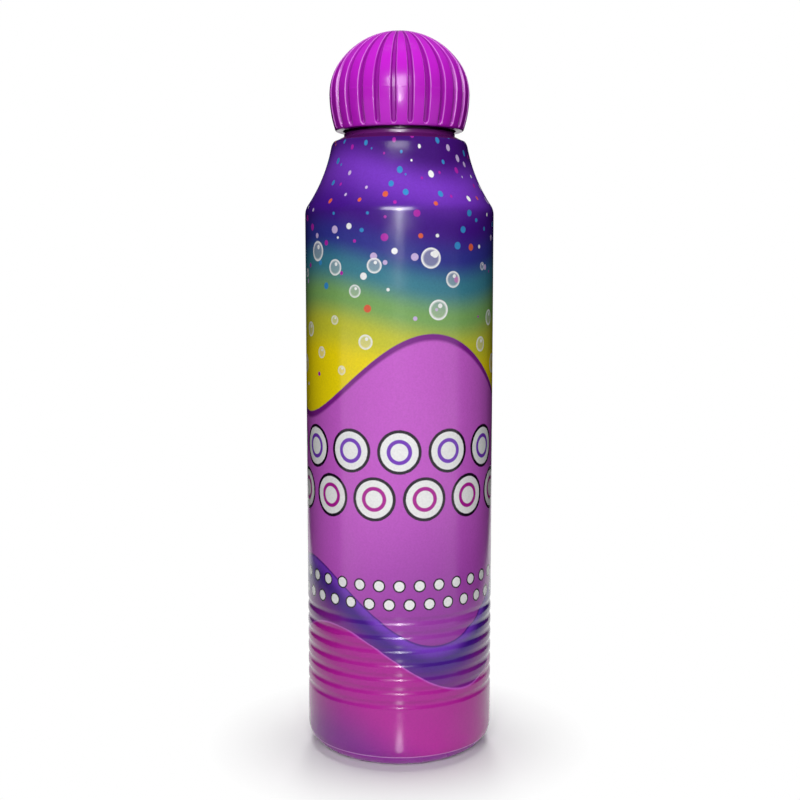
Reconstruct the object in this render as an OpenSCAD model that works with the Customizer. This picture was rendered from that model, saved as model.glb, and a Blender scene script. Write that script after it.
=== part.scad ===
// Bingo dauber: a printed squeeze bottle of ink, with a spring-valved sponge tip in its neck
// and a fluted bulb cap that screws on over the tip.
// Millimetres, +Z up, with the origin on the resting surface, on the bottle's axis.

/* [Body] */
// Diameter of the body over its film
body_d = 38; // [36:0.5:40]
// Height at which the straight body ends
body_h = 109; // [95:1:120]
// Wall of the bottle
wall_t = 1; // [0.8:0.1:1.3]
// Radius of the heel
heel_r = 4.8; // [3.6:0.2:6]
// Diameter of the hollow under the base
push_up_d = 21; // [18:1:24]
// Height of the hollow under the base
push_up_h = 1.6; // [1:0.1:2.4]
// Height of the ink in the bottle
ink_h = 96; // [60:1:104]

/* [Grip rings] */
// Number of grooves round the lower body
ring_count = 7; // [4:1:10]
// Height of the lowest groove
ring_first_z = 13.4; // [10:0.2:20]
// Height from one groove to the next
ring_pitch = 2.8; // [2.6:0.1:3.6]
// Depth of a groove
ring_depth = 0.22; // [0.12:0.02:0.26]
// Radius of a groove's section
ring_r = 1.6; // [1.2:0.1:1.8]

/* [Shoulder] */
// Radius where the body turns in
corner_r = 3.4; // [2.6:0.2:4.2]
// Radius of the hollow flare
flare_r = 31.6; // [30:0.2:33]
// Lean of the flare from upright at its top
flare_top_angle = 11.1; // [10:0.1:12]
// Radius of the shoulder's upper edge
shoulder_edge_r = 2.2; // [1.8:0.1:2.6]
// Slope of the shoulder's top from level
shoulder_slope = 26; // [20:1:30]
// Width of the shoulder from the neck's bead to its upper edge
shoulder_ledge_w = 2.62; // [2.4:0.02:3]

/* [Film] */
// Thickness of the printed film
film_t = 0.15; // [0.1:0.05:0.2]
// Height of the film's lower edge
film_low_z = 2.6; // [2:0.2:8]
// How far the film is drawn over the shoulder's upper edge, from level
film_edge_angle = 45; // [20:1:55]

/* [Neck] */
// Diameter of the neck at the root of its thread
neck_d = 20.2; // [19.6:0.1:20.4]
// Diameter of the neck's bore
neck_bore_d = 16.8; // [16.4:0.1:17.2]
// Height of the neck over the shoulder
neck_h = 9.7; // [9:0.1:10.2]
// Diameter of the bead at the neck's foot
bead_d = 22.2; // [21.8:0.1:22.6]
// Height of the bead over the shoulder
bead_h = 0.3; // [0.1:0.1:0.4]

/* [Cap] */
// Diameter of the cap at its widest
cap_d = 28; // [27.6:0.2:30]
// Diameter of the cap at its rim
cap_rim_d = 25.6; // [25:0.1:26.4]
// Height of the cap's rim over the shoulder
cap_gap = 0.7; // [0.6:0.1:1]
// Height from the rim to the widest place
cap_skirt_h = 7.1; // [6:0.1:8]
// Height of the dome over the widest place
cap_dome_h = 12.5; // [12.3:0.1:14]
// Radius of the dome's sides
cap_side_r = 11; // [10:0.2:11.6]
// Least wall of the cap
cap_wall_t = 1.2; // [1:0.1:1.3]
// Diameter of the room for the tip
cap_room_d = 19.8; // [19.4:0.2:20.4]
// Height of the bead that keeps the seal ring in
keeper_h = 0.4; // [0.2:0.1:0.6]
// How far the keeper bead stands in from the bore
keeper_t = 0.4; // [0.3:0.05:0.5]

/* [Flutes] */
// Number of flutes round the cap
flute_count = 26; // [16:1:32]
// Share of a flute's pitch that its groove takes
flute_share = 0.32; // [0.2:0.02:0.5]
// Depth of a groove
flute_depth = 0.55; // [0.3:0.05:0.7]
// Height of the plain band at the rim
flute_band_h = 0.5; // [0.3:0.1:1.5]
// Diameter of the plain crown
flute_crown_d = 3.2; // [2:0.2:6]
// Turn of the land nearest the front
flute_turn = 2.2; // [-6:0.2:6]

/* [Fitment] */
// Diameter of the flange on the neck's lip
flange_d = 20.4; // [20:0.1:20.6]
// Thickness of the flange
flange_t = 1; // [0.8:0.1:1.2]
// Depth of the plug in the neck
plug_h = 8; // [7:0.2:9]
// Wall of the plug
plug_t = 1.4; // [1.2:0.1:1.6]
// Thickness of the valve seat's floor
seat_t = 1.4; // [1:0.1:1.8]
// Diameter of the valve's opening
seat_d = 5.4; // [4.6:0.2:6]
// Diameter of the collar's seat
crown_d = 15.4; // [15.2:0.1:15.6]
// Height of the collar's seat over the flange
crown_h = 1.6; // [1.2:0.1:2]
// Number of arms under the tip
arm_count = 4; // [3:1:6]
// Width of an arm
arm_w = 1.4; // [1:0.1:1.8]
// Depth of an arm
arm_h = 2; // [1.4:0.1:2.6]
// Diameter of the stem's guide
guide_d = 5; // [4.4:0.1:5.6]
// Diameter inside the valve chamber
chamber_d = 8.8; // [8.4:0.1:9.2]
// Wall of the valve chamber
chamber_t = 1; // [0.8:0.1:1.2]
// Height of the valve chamber
chamber_h = 7.2; // [6.8:0.1:8]
// Width of each window in the chamber
window_w = 3; // [2:0.1:3.6]
// Height of each window in the chamber
window_h = 2.6; // [1.6:0.1:3]
// Number of windows in the chamber
window_count = 4; // [3:1:4]
// Height of the lip that holds the cage
cage_lip_h = 0.4; // [0.3:0.1:0.6]
// How far that lip stands in
cage_lip_t = 0.5; // [0.3:0.1:0.6]

/* [Valve] */
// Diameter of the valve's head
head_d = 7.4; // [7:0.1:7.8]
// Thickness of the valve's head
head_t = 1.4; // [1.2:0.1:1.6]
// Diameter of the valve's stem
stem_d = 2.5; // [2:0.1:2.6]
// Diameter of the nub that centres the spring
nub_d = 3.2; // [2.6:0.1:3.6]
// Height of the nub
nub_h = 0.9; // [0.6:0.1:1.1]
// Thickness of the spring cage's floor
cage_t = 1; // [0.8:0.1:1.2]
// Width of each slot in the cage
slot_w = 1.2; // [0.8:0.1:1.6]
// Number of slots in the cage
slot_count = 4; // [3:1:4]
// Wire of the valve's spring
wire_d = 0.5; // [0.4:0.02:0.54]
// Diameter of the spring at the middle of its wire
coil_d = 5.4; // [5:0.1:6]
// Turns of the spring
coil_turns = 4; // [3:0.5:4]

/* [Tip] */
// Height of the collar
collar_h = 2.6; // [2.4:0.1:3]
// Wall of the collar
collar_t = 0.95; // [0.8:0.05:1]
// Thickness of the woven cover
cover_t = 0.45; // [0.3:0.05:0.5]
// Rise of the tip over the collar
tip_rise = 4.1; // [3.4:0.1:4.4]

/* [Seal] */
// Thickness of the cap's seal ring
seal_ring_t = 1.2; // [1:0.1:1.5]
// Width of the seal ring, from the collar's clearance to the cap's bore
seal_ring_w = 1.65; // [1.5:0.05:1.8]

/* [Fits] */
// Gap between fixed pieces that lie on each other
rest_gap = 0.05; // [0.03:0.01:0.1]
// Gap round a piece that slides
slide_gap = 0.25; // [0.15:0.05:0.3]
// Gap between the ink and the bottle
ink_gap = 0.15; // [0.1:0.05:0.3]

/* [Hidden] */
$fn = 96;
overrun = 2;
arc_steps = 8;
groove_steps = 4;

// Radii that follow from the diameters
body_r = body_d / 2;
neck_r = neck_d / 2;
neck_bore_r = neck_bore_d / 2;
cap_r = cap_d / 2;
cap_rim_r = cap_rim_d / 2;
crown_r = crown_d / 2;
plug_r = neck_bore_r - rest_gap;
cup_r = plug_r - plug_t;
chamber_r = chamber_d / 2;
cover_r = crown_r + rest_gap + cover_t;
collar_r = cover_r + rest_gap + collar_t;
seal_ring_bore_r = collar_r + slide_gap;
seal_ring_r = seal_ring_bore_r + seal_ring_w;
cap_bore_r = seal_ring_r + slide_gap;

// Arc centres of the shoulder, each on the line square to the outline where two arcs meet.
// The flare leaves the body at the lean that brings its top to the shoulder's upper edge.
corner_c = [body_r - corner_r, body_h];
edge_out = bead_d / 2 + shoulder_ledge_w - shoulder_edge_r;
flare_foot_angle = acos((edge_out - corner_c.x + (flare_r + shoulder_edge_r) * cos(flare_top_angle))
    / (corner_r + flare_r));
flare_c = corner_c + (corner_r + flare_r) * ray(flare_foot_angle);
edge_c = flare_c - (flare_r + shoulder_edge_r) * ray(flare_top_angle);
edge_stop_angle = 90 - shoulder_slope;

// Depth of the bottle's faces under the film's outer face
bottle_inset = film_t + rest_gap;
cavity_inset = bottle_inset + wall_t;
ink_inset = cavity_inset + ink_gap;
heel_c = [body_r - heel_r, heel_r - bottle_inset];
film_top_z = edge_c.y + shoulder_edge_r * sin(film_edge_angle);
push_up_r = (pow(push_up_d / 2, 2) + pow(push_up_h, 2)) / (2 * push_up_h);

// Heights up the neck and the tip
neck_z = shoulder_end(bottle_inset).y + (shoulder_end(bottle_inset).x - neck_r) * tan(shoulder_slope);
lip_z = neck_z + neck_h;
flange_z = lip_z + flange_t;
crown_z = flange_z + crown_h;
collar_z = flange_z + collar_h;
tip_z = collar_z + tip_rise;
seat_z = lip_z - plug_h;
chamber_z = seat_z - chamber_h;
cage_z = chamber_z + cage_lip_h;
spring_z = cage_z + cage_t;
head_z = seat_z - head_t;
tip_dome_r = (pow(cover_r, 2) + pow(tip_rise, 2)) / (2 * tip_rise);

// Heights and arcs of the cap
rim_z = neck_z + cap_gap;
equator_z = rim_z + cap_skirt_h;
cap_z = equator_z + cap_dome_h;
step_z = flange_z + seal_ring_t;
skirt_r = (pow(cap_skirt_h, 2) + pow(cap_r - cap_rim_r, 2)) / (2 * (cap_r - cap_rim_r));
side_c = [cap_r - cap_side_r, equator_z];
cap_crown_r = (pow(side_c.x, 2) + pow(cap_dome_h, 2) - pow(cap_side_r, 2))
    / (2 * (cap_dome_h - cap_side_r));
crown_c = [0, cap_z - cap_crown_r];
crown_foot_angle = atan2(side_c.y - crown_c.y, side_c.x);
flute_angle = 360 / flute_count;
front_angle = -90;

// Sections of the spring's tube: a hexagon every eighth of a turn
wire_sides = 6;
rings_per_turn = 8;
coil_low_z = spring_z + rest_gap + wire_d / 2;
coil_high_z = head_z - rest_gap - wire_d / 2;
coil_rings = coil_turns * rings_per_turn;
coil_pitch = (coil_high_z - coil_low_z) / coil_turns;
echo(least_gap_between_spring_turns = coil_pitch - wire_d);

function ray(angle) = [cos(angle), sin(angle)];
function arc(centre, r, from, to, steps) =
    [for (i = [0:steps]) centre + r * ray(from + (to - from) * i / steps)];

// Where the arc of the shoulder's upper edge ends, this far under the film's outer face
function shoulder_end(inset) = edge_c + (shoulder_edge_r - inset) * ray(edge_stop_angle);

// One grip groove, as the arc between the two heights at which it leaves the body's side
function groove(z, inset) =
    let (half = acos((ring_r - ring_depth + inset) / (ring_r + inset)))
    arc([body_r + ring_r - ring_depth, z], ring_r + inset, 180 + half, 180 - half, groove_steps);

// Outline of the bottle's outside from the base to the neck, this far under the film's outer face
function bottle_outline(inset) = concat(
    [[0, inset - bottle_inset]],
    arc(heel_c, heel_r - inset, -90, 0, arc_steps),
    [for (i = [0:ring_count - 1]) each groove(ring_first_z + i * ring_pitch, inset)],
    arc(corner_c, corner_r - inset, 0, flare_foot_angle, arc_steps),
    arc(flare_c, flare_r + inset, 180 + flare_foot_angle, 180 + flare_top_angle, arc_steps),
    arc(edge_c, shoulder_edge_r - inset, flare_top_angle, edge_stop_angle, arc_steps),
    [[0, shoulder_end(inset).y + shoulder_end(inset).x * tan(shoulder_slope)]]);

// Outline of the cap from the rim to the crown, this far under its lands
function cap_outline(inset) = concat(
    [[0, rim_z]],
    arc([cap_r - skirt_r, equator_z], skirt_r - inset, -asin(cap_skirt_h / skirt_r), 0, arc_steps),
    arc(side_c, cap_side_r - inset, 0, crown_foot_angle, arc_steps),
    arc(crown_c, cap_crown_r - inset, crown_foot_angle, 90, arc_steps));

// A rectangle of a section, between two radii and two heights
module ring_section(inner, outer, low, high) {
    translate([inner, low]) square([outer - inner, high - low]);
}

// The hollow under the base, and the bottle's floor that lies over it
module push_up_section(inset) {
    translate([0, push_up_h - push_up_r]) circle(push_up_r + inset);
}

// Round the axis, in even turns
module around(count) {
    for (i = [0:count - 1]) rotate(i * 360 / count) children();
}

module bottle() {
    color("purple") rotate_extrude() difference() {
        union() {
            polygon(bottle_outline(bottle_inset));
            ring_section(0, neck_r, body_h, lip_z);
            ring_section(0, bead_d / 2, body_h, neck_z + bead_h);
        }
        difference() {
            polygon(bottle_outline(cavity_inset));
            push_up_section(wall_t);
        }
        ring_section(0, neck_bore_r, body_h, lip_z + overrun);
        push_up_section(0);
    }
}

module shrink_sleeve() {
    color("orchid") rotate_extrude() difference() {
        intersection() {
            polygon(bottle_outline(0));
            ring_section(0, body_r + overrun, film_low_z, film_top_z);
        }
        polygon(bottle_outline(film_t));
    }
}

module ink_charge() {
    color("indigo") rotate_extrude() difference() {
        intersection() {
            polygon(bottle_outline(ink_inset));
            ring_section(0, body_r, 0, ink_h);
        }
        push_up_section(wall_t + ink_gap);
    }
}

// The plug with its flange and seat, the chamber below it, and the arms that carry the tip
module applicator_housing() {
    color("whitesmoke") difference() {
        union() {
            rotate_extrude() {
                ring_section(cup_r, plug_r, seat_z, flange_z);
                ring_section(cup_r, flange_d / 2, lip_z, flange_z);
                ring_section(cup_r, crown_r, lip_z, crown_z);
                ring_section(seat_d / 2, plug_r, seat_z, seat_z + seat_t);
                ring_section(chamber_r, chamber_r + chamber_t, chamber_z, seat_z + seat_t);
                ring_section(chamber_r - cage_lip_t, chamber_r + chamber_t, chamber_z, cage_z);
                ring_section(0, guide_d / 2, crown_z - arm_h, crown_z);
            }
            around(arm_count) translate([0, -arm_w / 2, crown_z - arm_h])
                cube([(cup_r + crown_r) / 2, arm_w, arm_h]);
        }
        translate([0, 0, crown_z - arm_h - overrun])
            cylinder(r = stem_d / 2 + slide_gap, h = arm_h + 2 * overrun);
        around(window_count) translate([0, -window_w / 2, spring_z + slide_gap])
            cube([chamber_r + chamber_t + overrun, window_w, window_h]);
    }
}

// The slotted floor under the spring, with a pip that centres it
module valve_cage() {
    color("whitesmoke") difference() {
        rotate_extrude() {
            ring_section(0, chamber_r - rest_gap, cage_z, spring_z);
            ring_section(0, nub_d / 2, cage_z, spring_z + nub_h);
        }
        around(slot_count) translate([nub_d / 2 + wire_d, -slot_w / 2, cage_z - overrun])
            cube([chamber_r - cage_lip_t - wire_d - nub_d / 2 - wire_d, slot_w, cage_t + 2 * overrun]);
    }
}

// A point of the spring's tube: the ring counts up the coil and the side counts round the wire
function wire_point(ring, side) =
    let (turn = 360 * ring / rings_per_turn,
         spoke = coil_d / 2 + wire_d / 2 * cos(360 * side / wire_sides),
         rise = coil_low_z + coil_pitch * ring / rings_per_turn)
    [spoke * cos(turn), spoke * sin(turn), rise + wire_d / 2 * sin(360 * side / wire_sides)];

module valve_spring() {
    points = [for (ring = [0:coil_rings], side = [0:wire_sides - 1]) wire_point(ring, side)];
    sides = [for (ring = [0:coil_rings - 1], side = [0:wire_sides - 1])
        let (a = ring * wire_sides + side,
             b = ring * wire_sides + (side + 1) % wire_sides)
        each [[a, a + wire_sides, b], [b, a + wire_sides, b + wire_sides]]];
    first = [for (side = [1:wire_sides - 2]) [0, side, side + 1]];
    last = [for (side = [1:wire_sides - 2])
        let (start = coil_rings * wire_sides) [start, start + side + 1, start + side]];
    color("silver") polyhedron(points, concat(sides, first, last));
}

// The disc that shuts the seat from below, with its stem up to the tip
module valve_poppet() {
    color("ivory") rotate_extrude() {
        ring_section(0, head_d / 2, head_z, seat_z);
        ring_section(0, nub_d / 2, head_z - nub_h, head_z);
        ring_section(0, stem_d / 2, head_z, crown_z - rest_gap);
    }
}

// Section of the tip's dome, this far under the cover's outer face, over a level line
module tip_section(inset, low) {
    intersection() {
        translate([0, tip_z - tip_dome_r]) circle(tip_dome_r - inset);
        ring_section(0, cover_r - inset, low, tip_z);
    }
}

module foam_tip() {
    color("lavender") rotate_extrude() tip_section(cover_t + 2 * rest_gap, crown_z);
}

module tip_fabric() {
    color("white") rotate_extrude() difference() {
        union() {
            tip_section(0, collar_z);
            ring_section(0, cover_r, flange_z + rest_gap, collar_z);
        }
        tip_section(cover_t, collar_z - overrun);
        ring_section(0, cover_r - cover_t, flange_z - overrun, collar_z - cover_t);
    }
}

module retaining_collar() {
    color("white") rotate_extrude()
        ring_section(cover_r + rest_gap, collar_r, flange_z, collar_z);
}

module cap_seal_ring() {
    color("gainsboro") rotate_extrude()
        ring_section(seal_ring_bore_r, seal_ring_r, flange_z, step_z);
}

// The fluted bulb: a dome, the bore for the thread, the step over the seal ring and the room for the tip
module cap_shell() {
    color("mediumorchid") difference() {
        rotate_extrude() difference() {
            polygon(cap_outline(0));
            ring_section(0, cap_bore_r - keeper_t, rim_z - overrun, step_z);
            ring_section(0, cap_bore_r, rim_z - overrun, flange_z - slide_gap - keeper_h);
            ring_section(0, cap_bore_r, flange_z - slide_gap, step_z);
            intersection() {
                polygon(cap_outline(flute_depth + cap_wall_t));
                ring_section(0, cap_room_d / 2, equator_z, cap_z);
            }
        }
        rotate(front_angle + flute_turn + flute_angle / 2 - flute_angle * flute_share / 2)
            around(flute_count) rotate_extrude(angle = flute_angle * flute_share) flute_section();
    }
}

// What one groove takes off the dome, between the plain band at the rim and the plain crown
module flute_section() {
    difference() {
        ring_section(flute_crown_d / 2, cap_r + overrun, rim_z + flute_band_h, cap_z + overrun);
        polygon(cap_outline(flute_depth));
    }
}

bottle();
shrink_sleeve();
ink_charge();
applicator_housing();
valve_cage();
valve_spring();
valve_poppet();
foam_tip();
tip_fabric();
retaining_collar();
cap_seal_ring();
cap_shell();
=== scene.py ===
import math

import bmesh
import bpy
from mathutils import Matrix, Vector


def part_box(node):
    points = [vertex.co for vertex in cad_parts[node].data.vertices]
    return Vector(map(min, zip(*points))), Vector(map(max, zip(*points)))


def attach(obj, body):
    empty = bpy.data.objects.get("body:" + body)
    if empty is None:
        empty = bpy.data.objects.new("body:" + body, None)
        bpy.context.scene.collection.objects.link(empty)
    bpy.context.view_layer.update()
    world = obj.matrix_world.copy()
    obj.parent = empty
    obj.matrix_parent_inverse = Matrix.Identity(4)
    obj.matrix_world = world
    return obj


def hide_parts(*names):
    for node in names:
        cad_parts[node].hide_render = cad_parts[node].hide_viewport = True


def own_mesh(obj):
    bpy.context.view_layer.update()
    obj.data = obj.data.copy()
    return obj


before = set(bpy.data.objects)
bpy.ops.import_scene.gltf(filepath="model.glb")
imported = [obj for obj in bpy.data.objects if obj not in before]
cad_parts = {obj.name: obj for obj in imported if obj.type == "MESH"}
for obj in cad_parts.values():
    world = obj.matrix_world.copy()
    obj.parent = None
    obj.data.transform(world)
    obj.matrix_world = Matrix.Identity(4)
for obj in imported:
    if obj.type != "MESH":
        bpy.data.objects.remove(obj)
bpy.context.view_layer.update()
scene = bpy.context.scene
mm = 0.001

# The table and the studio
# A pale table that keeps the soft shadow round the base, with a painted shade there too, a white card behind
# in a dim room, and soft boxes in front, overhead and behind, as for a catalogue picture.


def put(tree, kind, **sockets):
    """A new shader node. Each socket takes a plain value or the output that feeds it."""
    made = tree.nodes.new(kind)
    for name, value in sockets.items():
        feed(tree, made.inputs[name.replace("_", " ")], value)
    return made


def feed(tree, socket, value):
    """Sets a socket to a plain value, or links an output to it."""
    if isinstance(value, bpy.types.NodeSocket):
        tree.links.new(value, socket)
    else:
        socket.default_value = value


def sums(tree, operation, *values):
    """The output of one Math node."""
    made = tree.nodes.new("ShaderNodeMath")
    made.operation = operation
    for socket, value in zip(made.inputs, values):
        feed(tree, socket, value)
    return made.outputs[0]


def ranged(tree, value, low, high, to_low=0.0, to_high=1.0):
    """A value moved from one range to another, and kept inside it."""
    made = put(
        tree, "ShaderNodeMapRange", Value=value, From_Min=low, From_Max=high, To_Min=to_low, To_Max=to_high
    )
    return made.outputs["Result"]


room_light = 0.10
card_edge = 0.86
card_full = 0.97
room = bpy.data.worlds.new("studio_room")
room.use_nodes = True
room_tree = room.node_tree
room_way = put(room_tree, "ShaderNodeTexCoord").outputs["Generated"]
room_back = put(room_tree, "ShaderNodeSeparateXYZ", Vector=room_way).outputs["Y"]
white_card = ranged(room_tree, room_back, card_edge, card_full, room_light, 1.0)
room_path = put(room_tree, "ShaderNodeLightPath").outputs
room_straight = sums(room_tree, "MAXIMUM", room_path["Is Camera Ray"], room_path["Is Transmission Ray"])
room_gloss = sums(room_tree, "MULTIPLY", room_path["Is Glossy Ray"], white_card)
room_shown = sums(room_tree, "MAXIMUM", room_straight, room_gloss)
room_paint = room_tree.nodes["Background"]
room_paint.inputs["Color"].default_value = (1.0, 1.0, 1.0, 1.0)
feed(room_tree, room_paint.inputs["Strength"], sums(room_tree, "MAXIMUM", room_shown, room_light))
scene.world = room
scene.view_settings.view_transform = "Standard"


def new_finish(name):
    """A new material, with its node tree and its shader."""
    material = bpy.data.materials.new(name)
    material.use_nodes = True
    return material, material.node_tree, material.node_tree.nodes["Principled BSDF"]


def here(tree):
    """The point on the piece, in metres."""
    return put(tree, "ShaderNodeTexCoord").outputs["Object"]


def grey(tree, level):
    """A grey of this level."""
    return put(tree, "ShaderNodeCombineColor", Red=level, Green=level, Blue=level).outputs["Color"]


def vector_sums(tree, operation, gives, first, second=None):
    """One output of a Vector Math node, which is called Vector or Value."""
    made = tree.nodes.new("ShaderNodeVectorMath")
    made.operation = operation
    feed(tree, made.inputs[0], first)
    if second is not None:
        feed(tree, made.inputs["Scale" if operation == "SCALE" else 1], second)
    return made.outputs[gives]


def as_piece(name, shape, material, crease=40):
    """A finished object from a shape, smooth but for edges sharper than the crease."""
    mesh = bpy.data.meshes.new(name)
    shape.to_mesh(mesh)
    shape.free()
    mesh.polygons.foreach_set("use_smooth", [True] * len(mesh.polygons))
    mesh.set_sharp_from_angle(angle=math.radians(crease))
    mesh.materials.append(material)
    made = bpy.data.objects.new(name, mesh)
    scene.collection.objects.link(made)
    return made


# Near the base the table is a pale grey that takes the shadow and is itself a painted shade round the base,
# and further out it fades to plain white.
table_half = 3.0
table_white = 0.80
table_near = 0.018
table_far = 0.040
table_paint, table_tree, table_shader = new_finish("table_white")
table_shader.inputs["Roughness"].default_value = 0.9
table_shader.inputs["Specular IOR Level"].default_value = 0.0
table_shader.inputs["Emission Color"].default_value = (1.0, 1.0, 1.0, 1.0)
table_reach = vector_sums(table_tree, "LENGTH", "Value", here(table_tree))
shadow_and_painted_halo = ranged(table_tree, table_reach, table_far, table_near)
table_level = sums(table_tree, "MULTIPLY", shadow_and_painted_halo, table_white)
feed(table_tree, table_shader.inputs["Base Color"], grey(table_tree, table_level))
table_path = put(table_tree, "ShaderNodeLightPath").outputs
table_mirrored = sums(table_tree, "MAXIMUM", table_path["Is Glossy Ray"], table_path["Is Transmission Ray"])
table_seen = sums(table_tree, "MAXIMUM", table_path["Is Camera Ray"], table_mirrored)
table_lit = sums(table_tree, "MULTIPLY", table_seen, sums(table_tree, "SUBTRACT", 1.0, shadow_and_painted_halo))
feed(table_tree, table_shader.inputs["Emission Strength"], table_lit)
table_shape = bmesh.new()
bmesh.ops.create_grid(table_shape, x_segments=1, y_segments=1, size=table_half)
table = as_piece("table", table_shape, table_paint)


def lamp(name, place, aim, width, height, watts):
    """A soft box: a flat lamp of this size at a place, turned to face another."""
    data = bpy.data.lights.new(name, "AREA")
    data.shape = "RECTANGLE"
    data.size = width
    data.size_y = height
    data.energy = watts
    made = bpy.data.objects.new(name, data)
    made.location = place
    made.rotation_euler = (Vector(aim) - Vector(place)).to_track_quat("-Z", "Y").to_euler()
    scene.collection.objects.link(made)
    return made


middle = (0.0, 0.0, 0.08)
lamp("front_box", (-0.03, -0.70, 0.37), middle, width=0.42, height=0.24, watts=4.5)
lamp("front_strip", (0.0, -0.60, 0.19), middle, width=0.03, height=0.036, watts=0.45)
top_box = lamp("top_box", (0.0, 0.10, 1.20), middle, width=0.60, height=0.30, watts=6.6)
back_box = lamp("back_box", (0.0, 0.75, 0.36), middle, width=0.20, height=0.20, watts=3.2)
# Polarising sheets keep the glare of the top box off the crown, and that of the back box off the edges.
top_box.visible_glossy = False
back_box.visible_glossy = False

# Small lamps only put glints on the gloss: one on the cap's side, and two that lie on the table in front of
# the heel.
glints = (
    lamp("cap_glint", (0.0005, -0.08, 0.1263), (0.0, 0.0, 0.1295), width=0.006, height=0.006, watts=0.012),
    lamp("heel_glint", (0.0, -0.031, 0.001), (0.0, -0.031, 1.0), width=0.003, height=0.018, watts=0.0006),
    lamp("heel_streak", (0.0, -0.054, 0.001), (0.0, -0.054, 1.0), width=0.003, height=0.052, watts=0.0011),
)
for glint in glints:
    glint.data.shape = "ELLIPSE"
    glint.visible_camera = False
    glint.visible_diffuse = False


def noise(tree, place, scale, detail):
    """Soft random patches, this many to the metre."""
    return put(tree, "ShaderNodeTexNoise", Vector=place, Scale=scale, Detail=detail).outputs["Fac"]


def patches(tree, scale, detail, low, high):
    """Soft random patches that run from a low value to a high one."""
    return ranged(tree, noise(tree, here(tree), scale, detail), 0.3, 0.7, low, high)


# Black flags stand on both sides, hidden from the camera, so that the glossy film keeps dark edges.
flag_out = 0.11
flag_near = -0.04
flag_far = 0.90
flag_h = 0.24
flag_paint, flag_tree, flag_shader = new_finish("flag_black")
flag_shade = patches(flag_tree, 900.0, 2.0, 0.004, 0.012)
feed(flag_tree, flag_shader.inputs["Base Color"], grey(flag_tree, flag_shade))
flag_shader.inputs["Roughness"].default_value = 1.0
flag_shader.inputs["Specular IOR Level"].default_value = 0.0
for flag_side, flag_name in ((-1, "left_flag"), (1, "right_flag")):
    flag_shape = bmesh.new()
    flag_foot = [flag_shape.verts.new((flag_side * flag_out, reach, 0.0)) for reach in (flag_near, flag_far)]
    flag_edge = flag_shape.edges.new(flag_foot)
    flag_risen = bmesh.ops.extrude_edge_only(flag_shape, edges=[flag_edge])["geom"]
    flag_top = [part for part in flag_risen if isinstance(part, bmesh.types.BMVert)]
    bmesh.ops.translate(flag_shape, verts=flag_top, vec=(0.0, 0.0, flag_h))
    flag = as_piece(flag_name, flag_shape, flag_paint)
    flag.visible_camera = False

camera_place = (0.00012, -0.25412, 0.09915)
camera_tilt = 6.228
camera_lens = 56.0
camera_data = bpy.data.cameras.new("camera")
camera_data.sensor_fit = "HORIZONTAL"
camera_data.sensor_width = 36.0
camera_data.lens = camera_lens
camera_data.clip_start = 0.01
camera = bpy.data.objects.new("camera", camera_data)
camera.location = camera_place
camera.rotation_euler = (math.radians(90.0 - camera_tilt), 0.0, 0.0)
scene.collection.objects.link(camera)
scene.camera = camera

# The bottle
# Blow-moulded purple polyethylene with a hollowed base, grip rings low on the body, a flared shoulder and
# a threaded neck. The film covers all but the foot of the heel, the shoulder's top and the neck.
film_low, film_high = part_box("shrink_sleeve")
lip_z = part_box("bottle")[1].z
body_r = film_high.x
film_room = 0.2 * mm
wall = 1.0 * mm
straight_top = 109.0 * mm
corner_r = 3.4 * mm
flare_r = 31.6 * mm
flare_top = 11.1
edge_r = 2.2 * mm
edge_out = 11.52 * mm
edge_stop = 64.0
heel_r = 4.8 * mm
hollow_r = 10.5 * mm
hollow_rise = 1.6 * mm
ring_pitch = 2.8 * mm
ring_depth = 0.22 * mm
ring_wide = 2.1 * mm
ring_count = 7
ring_first = 13.4 * mm
neck_r = 10.1 * mm
neck_bore_r = 8.4 * mm
neck_bead_r = 11.1 * mm
neck_bead_h = 0.3 * mm
bead_round = 0.25 * mm
lip_round = 0.4 * mm
thread_pitch = 3.2 * mm
thread_crest_r = 10.85 * mm
thread_low = 127.4 * mm
thread_sink = 0.05 * mm
neck_turns = 1.6
# Shares of the bottle's height between which its colour deepens, and how deep it gets
shade_low = 0.3
shade_high = 0.85
shade_level = 0.45


def arc(centre, radius, start, stop, steps):
    """Points along an arc of an outline, as radius and height, between two angles in degrees."""
    turns = [math.radians(start + (stop - start) * i / steps) for i in range(steps + 1)]
    return [Vector((centre[0] + radius * math.cos(t), centre[1] + radius * math.sin(t))) for t in turns]


def ray(angle):
    """One step outwards at an angle in degrees."""
    return Vector((math.cos(math.radians(angle)), math.sin(math.radians(angle))))


corner_c = Vector((body_r - corner_r, straight_top))
flare_span = edge_out - corner_c.x + (flare_r + edge_r) * math.cos(math.radians(flare_top))
flare_foot = math.degrees(math.acos(flare_span / (corner_r + flare_r)))
flare_c = corner_c + (corner_r + flare_r) * ray(flare_foot)
edge_c = flare_c - (flare_r + edge_r) * ray(flare_top)
heel_c = Vector((body_r - heel_r, heel_r - film_room))


def ripple(inset):
    """The grip rings: soft grooves round the body's side, with a flat land between each two."""
    steps = 12
    shares = [i / steps - 0.5 for i in range(steps + 1)]
    rings = [ring_first + ring_pitch * i for i in range(ring_count)]
    places = [(ring + ring_wide * share, share) for ring in rings for share in shares]
    return [
        Vector((body_r - inset - ring_depth * (0.5 + 0.5 * math.cos(2 * math.pi * share)), height))
        for height, share in places
    ]


def body_side(inset):
    """The side of the bottle from the heel to the shoulder's upper edge, this far under the film's face."""
    return (
        arc(heel_c, heel_r - inset, -90, 0, 16)
        + ripple(inset)
        + arc(corner_c, corner_r - inset, 0, flare_foot, 12)
        + arc(flare_c, flare_r + inset, 180 + flare_foot, 180 + flare_top, 16)[1:]
        + arc(edge_c, edge_r - inset, flare_top, edge_stop, 12)[1:]
    )


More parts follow.
